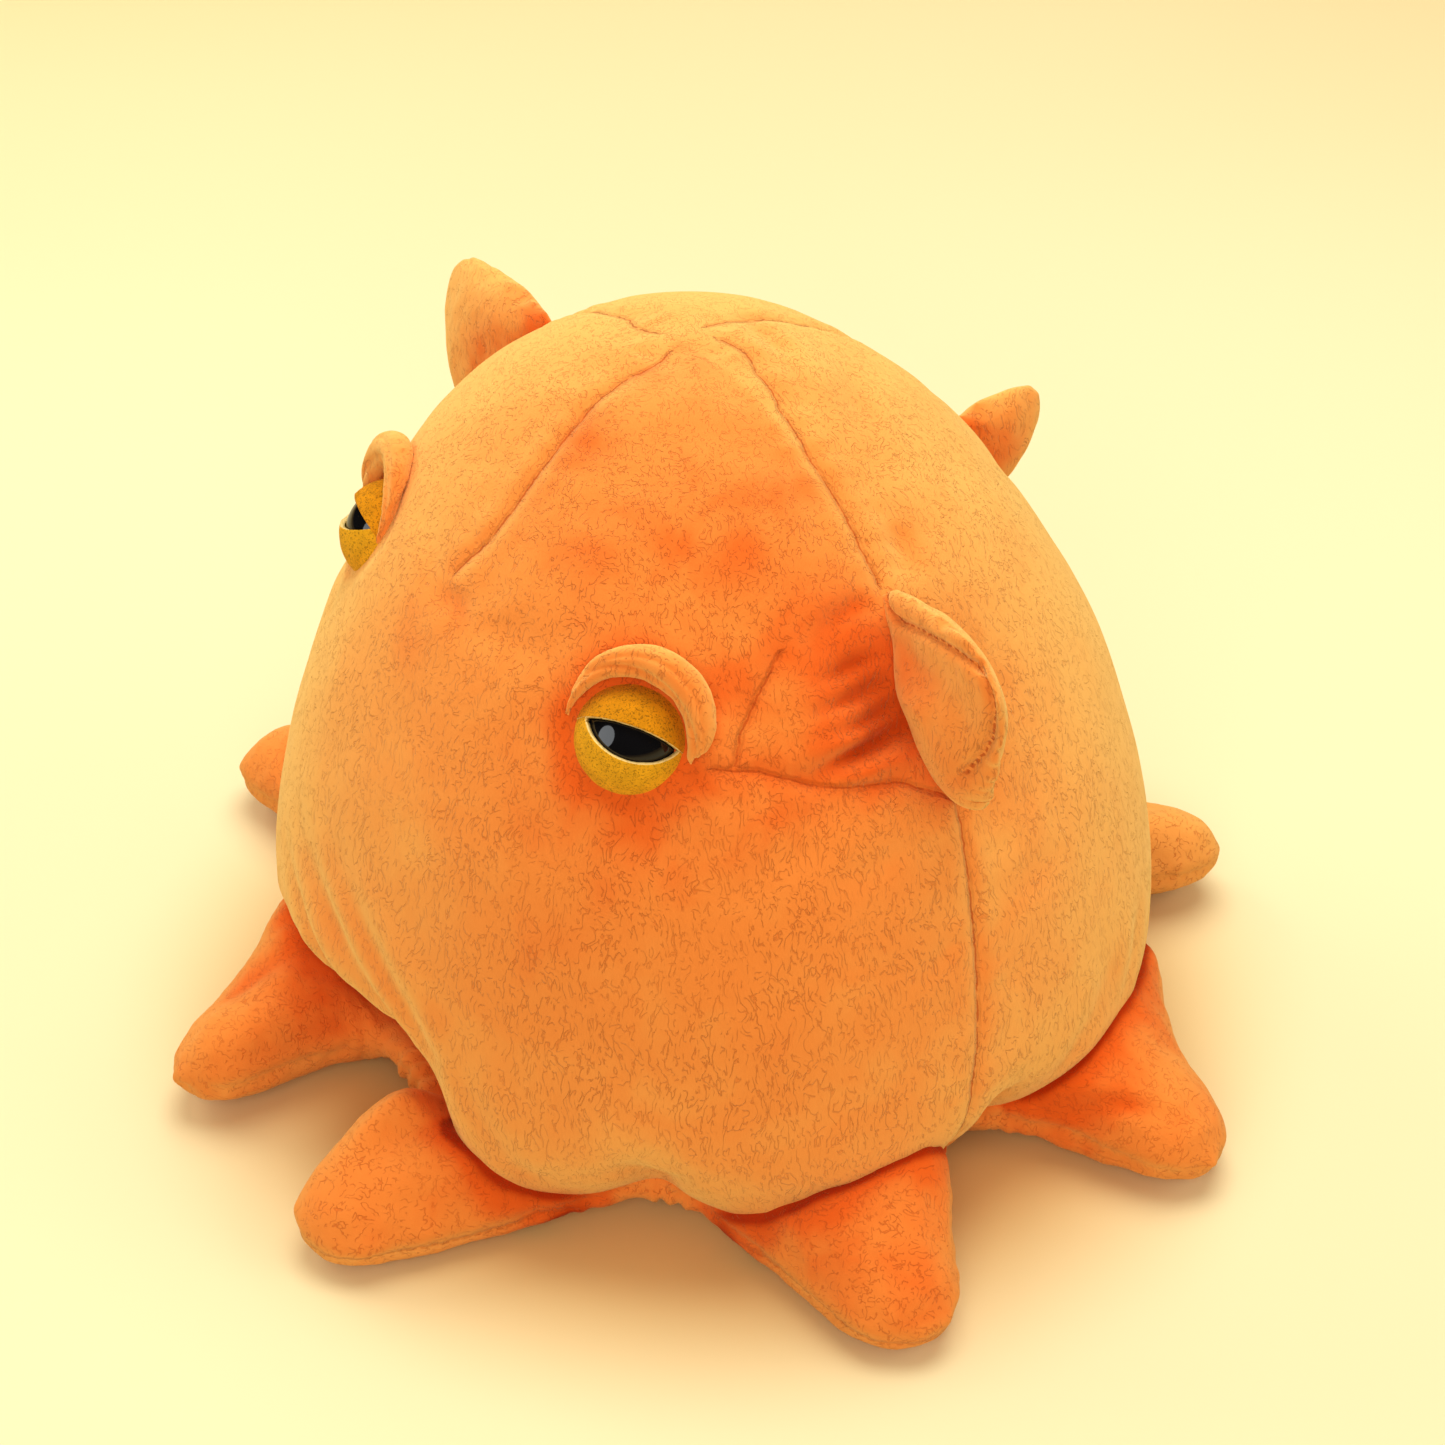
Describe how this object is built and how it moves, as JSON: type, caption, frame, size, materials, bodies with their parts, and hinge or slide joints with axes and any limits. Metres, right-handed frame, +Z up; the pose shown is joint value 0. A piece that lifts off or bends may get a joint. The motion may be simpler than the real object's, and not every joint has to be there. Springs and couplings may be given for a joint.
{
  "type": "plush dumbo octopus",
  "caption": "Stuffed plush octopus with an egg-shaped body on a skirt of short arms, ear-like side fins, a small back fin and half-lidded domed eyes.",
  "frame": {"origin": "on the floor, under the middle of the belly, on the flat middle of the underside panel", "axes": "+Z up, the face looks along -Y, and the animal's left side is +X"},
  "size_m": [0.3087, 0.2991, 0.206],
  "materials": {
    "orange_plush": "short velvety pile",
    "underside_plush": "short velvety pile, flatter than the top",
    "ochre_felt": "matt felt with pale cut edges",
    "black_gloss_plastic": "polished",
    "washer_plastic": "as moulded"
  },
  "bodies": {
    "root": {"arm_skirt": "orange_plush", "back_fin": "orange_plush", "body": "orange_plush", "brow_left": "orange_plush", "brow_right": "orange_plush", "eye_left": "black_gloss_plastic", "eye_right": "black_gloss_plastic", "eye_washer_left": "washer_plastic", "eye_washer_right": "washer_plastic", "lower_lid_left": "ochre_felt", "lower_lid_right": "ochre_felt", "side_fin_left": "orange_plush", "side_fin_right": "orange_plush", "skirt_underside": "underside_plush", "upper_lid_left": "ochre_felt", "upper_lid_right": "ochre_felt"}
  },
  "joints": []
}
